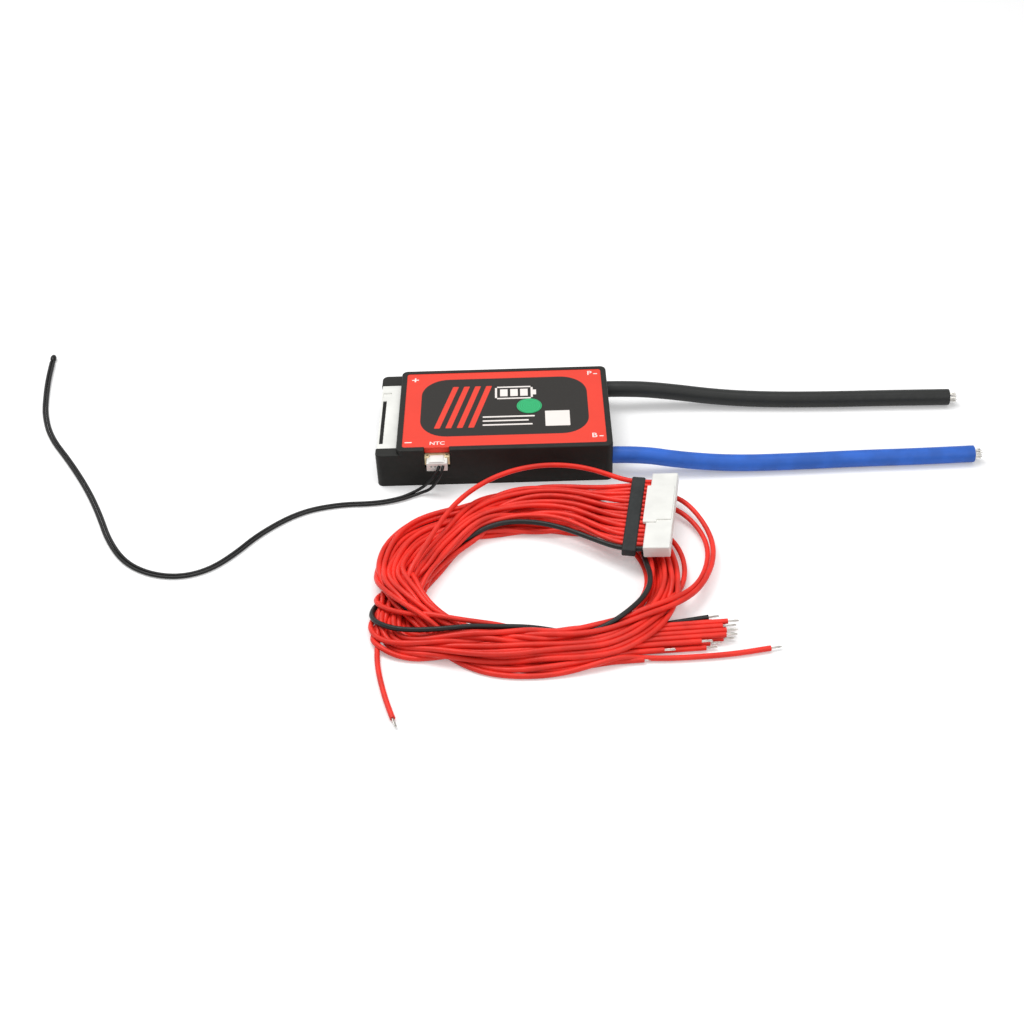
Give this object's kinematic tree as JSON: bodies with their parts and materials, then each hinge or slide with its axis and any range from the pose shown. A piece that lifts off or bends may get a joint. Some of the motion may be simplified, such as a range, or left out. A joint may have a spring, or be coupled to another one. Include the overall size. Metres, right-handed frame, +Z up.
{
  "type": "battery management board",
  "caption": "Battery management module in a low black moulded housing with a red label, two heavy power leads, a plugged temperature probe and an unplugged, coiled sensing harness.",
  "frame": {"origin": "centre of the housing at the underside of its base plate, on the surface it lies on", "axes": "+X along the housing towards the power leads, +Y to its back, away from the probe port, +Z up through the label"},
  "size_m": [0.321, 0.1859, 0.014],
  "materials": {
    "black_shell": "moulded, fine satin",
    "spreader": "brushed sheet",
    "sealant": "cured adhesive",
    "pad": "soft thermal pad",
    "board_green": "solder-resist coated laminate",
    "chip_black": "moulded resin",
    "resistor_black": "coated ceramic",
    "metal_shunt": "bare metal",
    "copper": "tinned copper strip",
    "capacitor_can": "bare can",
    "solder": "solder",
    "connector_white": "moulded nylon",
    "connector_ivory": "moulded nylon",
    "pin_tin": "tin plated",
    "label_red": "printed film",
    "dot_green": "printed film",
    "lead_blue": "silicone jacket",
    "lead_black": "silicone jacket",
    "probe_black": "thin insulation",
    "wire_red": "insulation",
    "wire_black": "insulation",
    "bead_resin": "resin drop",
    "strap_grey": "flat tie band",
    "tinned": "tinned strands"
  },
  "bodies": {
    "root": {"balance_header": "connector_white", "balance_pins": "pin_tin", "balance_resistors": "resistor_black", "base_plate": "spreader", "base_seal": "sealant", "black_lead": "lead_black", "black_lead_strands": "tinned", "blue_lead": "lead_blue", "blue_lead_strands": "tinned", "capacitors": "capacitor_can", "circuit_board": "board_green", "current_strips": "copper", "front_label": "label_red", "harness_coil": "wire_red", "harness_plug": "connector_white", "harness_strap": "strap_grey", "harness_terminals": "pin_tin", "housing": "black_shell", "inspection_dot": "dot_green", "monitor_chips": "chip_black", "power_transistors": "chip_black", "probe_bead": "bead_resin", "probe_header": "connector_ivory", "probe_lead": "probe_black", "probe_pins": "pin_tin", "probe_plug": "connector_white", "probe_terminals": "pin_tin", "sense_lead_01": "wire_black", "sense_lead_02": "wire_red", "sense_lead_03": "wire_red", "sense_lead_04": "wire_red", "sense_lead_05": "wire_red", "sense_lead_06": "wire_red", "sense_lead_07": "wire_red", "sense_lead_08": "wire_red", "sense_lead_09": "wire_red", "sense_lead_10": "wire_red", "sense_lead_11": "wire_red", "sense_lead_12": "wire_red", "sense_lead_13": "wire_red", "sense_lead_14": "wire_red", "sense_lead_15": "wire_red", "sense_lead_16": "wire_red", "sense_lead_17": "wire_red", "shunt_resistors": "metal_shunt", "solder_joints": "solder", "thermal_pad": "pad", "tinned_ends": "tinned"}
  },
  "joints": []
}
